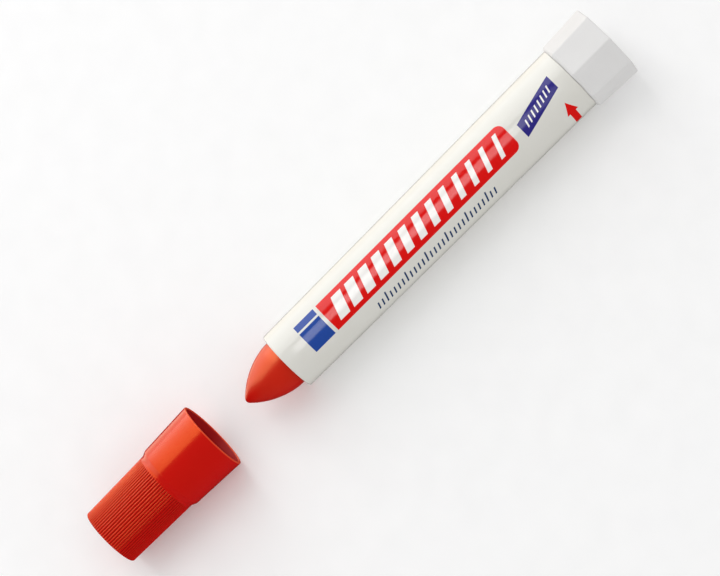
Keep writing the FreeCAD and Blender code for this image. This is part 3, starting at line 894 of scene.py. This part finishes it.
# %% Sizes of the cap
SKIRT_RADIUS = 10.33 * MM
GRIP_RADIUS = 9.64 * MM
END_RADIUS = 9.23 * MM
MOUTH_RADIUS = (CAP_HIGH.z - CAP_LOW.z) / 2
SKIRT_LENGTH = 16.6 * MM
SLOPE_LENGTH = 1.5 * MM
COLLAR_LENGTH = 0.9 * MM
MOUTH_WALL = 0.8 * MM
CAP_WALL = 0.95 * MM
END_WALL = 1.3 * MM
LAND_RADIUS = 9.5 * MM
LAND_LENGTH = 4.0 * MM
RIBS = 72
RIB_DEPTH = 0.3 * MM
RIB_FADE = 0.25 * MM
RIBBED_ABOVE = 8.5 * MM
HALF_WALL = 0.5 * MM
STEPS_PER_RIB = 10
CAP_AROUND = RIBS * STEPS_PER_RIB
CAP_STEP = CAP_MOUTH - SKIRT_LENGTH
GRIP_START = CAP_STEP - SLOPE_LENGTH
RIB_START = GRIP_START - COLLAR_LENGTH
LIP_ROUNDING = 0.3 * MM
END_ROUNDING = 0.4 * MM
COLLAR_ROUNDING = 0.6 * MM
SLOPE_ROUNDING = 0.9 * MM
LAND_ROUNDING = 1.0 * MM
STOP_ROUNDING = 0.15 * MM
INNER_ROUNDING = 0.2 * MM
print("grip", round((GRIP_START - CAP_END) / MM, 1), "mm long with", RIBS, "ribs")

# %% [markdown]
# The cap is one colour of plastic, but it doesn't look so. Its polished skin throws back an orange light
# where it faces the side box. The valleys between the ribs get painted shade: a darker red is laid into
# the colour there. The lip is painted a paler red, as painted light where the wall is thin. The inside is
# duller, because the mould's core isn't polished, and its darker red is painted shade. The place of each
# rib is worked out from the turn about the axis, as it is for the shape.

# %% Materials: cap
GLOSSY_RED = {"Specular_IOR_Level": 0.9, "Specular_Tint": (1.0, 0.33, 0.07, 1.0)}
# How strongly painted shade darkens the valleys between the ribs.
PAINTED_VALLEY_SHADE = 0.78
CREST_BREADTH = 0.5


def ribbed_red_with_painted_shade():
    """The cap's outer skin, with painted shade in the valleys between the ribs."""
    material, tree, shader, skin = plastic(
        "cap_red", None, roughness=0.19, bump=0.012, uneven=0.02, **GLOSSY_RED
    )
    place = add_node(tree, "ShaderNodeTexCoord").outputs["Object"]
    spot = add_node(tree, "ShaderNodeSeparateXYZ", {0: place}).outputs
    height = calc(tree, "SUBTRACT", spot[2], AXIS_Z)
    turn = calc(tree, "ARCTAN2", calc(tree, "MULTIPLY", spot[1], -1.0), height)
    swing = calc(tree, "MULTIPLY", calc(tree, "SUBTRACT", turn, CAMERA_SIDE), RIBS / 2)
    crest = calc(tree, "ABSOLUTE", calc(tree, "COSINE", swing))
    # Painted shade: the base colour turns a darker red in the valleys between the ribs, where the ribs shade
    # each other.
    valley = calc(tree, "SUBTRACT", 1.0, calc(tree, "POWER", crest, CREST_BREADTH))
    ribbed = calc(tree, "LESS_THAN", spot[0], RIB_START)
    shade = calc(tree, "MULTIPLY", calc(tree, "MULTIPLY", valley, ribbed), PAINTED_VALLEY_SHADE)
    crest_red = blend_colors(tree, skin["Cloud"], tone("#CE0E11"), tone("#D60E11"))
    # The dark red of the painted shade in the valleys.
    painted_shade_red = tone("#6C0306")
    put(shader.inputs["Base Color"], blend_colors(tree, shade, crest_red, painted_shade_red))
    return material


CAP_RED = ribbed_red_with_painted_shade()
# The inside is rougher, as the unpolished core leaves it, and its darker red is painted shade.
CAP_RED_INSIDE_PAINTED_SHADE = plastic(
    "cap_red_inside_painted_shade", tone("#B8060A"), roughness=0.5, bump=0.03, Specular_IOR_Level=0.2
)[0]
# The lip's paler red is painted light along the thin rim of the mouth.
CAP_RED_LIP_PAINTED_LIGHT = plastic("cap_red_lip_painted_light", tone("#EE4A2C"), roughness=0.3, bump=0.02, **GLOSSY_RED)[0]
print("cap finishes made")

# %% [markdown]
# Now the cap is turned, in ten steps to each rib. One helper says how deep the skin sinks between the ribs,
# and another says which of the three finishes each ring of faces gets.

# %% Piece: cap
def rib_depth(point, turn):
    """How far the skin of the grip sinks between two ribs."""
    if point.y < RIBBED_ABOVE or point.x > RIB_START + RIB_FADE:
        return 0.0
    fade = min(1.0, max(0.0, (RIB_START + RIB_FADE - point.x) / RIB_FADE))
    return RIB_DEPTH * fade * (1.0 - abs(math.cos(RIBS * turn / 2)))


def cap_zone(start, end):
    """Nought for the polished outside, one for the duller inside with painted shade, two for the lip with
    painted light.
    """
    place = (start + end) / 2
    if place.x < CAP_END + END_WALL / 2:
        return 0
    if place.x > CAP_MOUTH - LIP_ROUNDING:
        return 2
    flare = (MOUTH_RADIUS - SKIRT_RADIUS) * (place.x - CAP_STEP) / SKIRT_LENGTH
    outer = SKIRT_RADIUS + flare if place.x > CAP_STEP - HAIR else END_RADIUS
    return 1 if place.y < outer - HALF_WALL else 0


cap_profile = rounded([
    (CAP_END, 0),
    (CAP_END, END_RADIUS, END_ROUNDING),
    (RIB_START, GRIP_RADIUS),
    (RIB_START + RIB_FADE / 2, GRIP_RADIUS),
    (RIB_START + RIB_FADE, GRIP_RADIUS),
    (GRIP_START, GRIP_RADIUS, COLLAR_ROUNDING),
    (CAP_STEP, SKIRT_RADIUS, SLOPE_ROUNDING),
    (CAP_MOUTH, MOUTH_RADIUS, LIP_ROUNDING),
    (CAP_MOUTH, MOUTH_RADIUS - MOUTH_WALL, LIP_ROUNDING),
    (CAP_STEP + LAND_LENGTH, LAND_RADIUS, LAND_ROUNDING),
    (CAP_STEP, LAND_RADIUS, STOP_ROUNDING),
    (CAP_STEP, END_RADIUS - CAP_WALL, INNER_ROUNDING),
    (CAP_END + END_WALL, END_RADIUS - CAP_WALL, END_ROUNDING),
    (CAP_END + END_WALL, 0),
])
cap_profile = divided(cap_profile, longest=3 * MM)
cap_finishes = [CAP_RED, CAP_RED_INSIDE_PAINTED_SHADE, CAP_RED_LIP_PAINTED_LIGHT]
cap = lathe("cap_shell", cap_profile, CAP_AROUND, cap_finishes, cap_zone, rib_depth)
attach(cap, "cap")
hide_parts("cap")

# %% [markdown]
# The knob, the screw, the carrier and the seal ring keep the shapes that they were built with, because
# those are already the real ones, down to the flats and the thread. They only get their finishes.

# %% Finishes of the built pieces
for node, material in (
    ("knob", KNOB_WHITE),
    ("spindle", INNER_WHITE),
    ("carrier", INNER_WHITE),
    ("seal_ring", SEAL_BLACK),
):
    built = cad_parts[node]
    built.data.materials.clear()
    built.data.materials.append(material)
    print(node, "gets", material.name)

# %% [markdown]
# The marker lies on a plain pale sheet, wide enough to fill every view. It glows a little, so that it stays
# nearly white. Mirror-like rays don't find the sheet itself, because the surrounding stands in for it.

# %% Floor
FLOOR_REACH = 4.0
FLOOR_GLOW = 0.09


def pale_floor():
    mesh = bpy.data.meshes.new("floor")
    corners = [(x * FLOOR_REACH, y * FLOOR_REACH, 0) for x, y in ((-1, -1), (1, -1), (1, 1), (-1, 1))]
    mesh.from_pydata(corners, [], [(0, 1, 2, 3)])
    floor = bpy.data.objects.new("floor", mesh)
    bpy.context.scene.collection.objects.link(floor)
    constants = {"Specular_IOR_Level": 0.1, "Emission_Color": (1, 1, 1, 1), "Emission_Strength": FLOOR_GLOW}
    mesh.materials.append(plastic("pale_sheet", tone("#FAFAFA"), roughness=0.9, bump=0.02, **constants)[0])
    floor.visible_glossy = False
    return floor


print("floor", pale_floor().name)
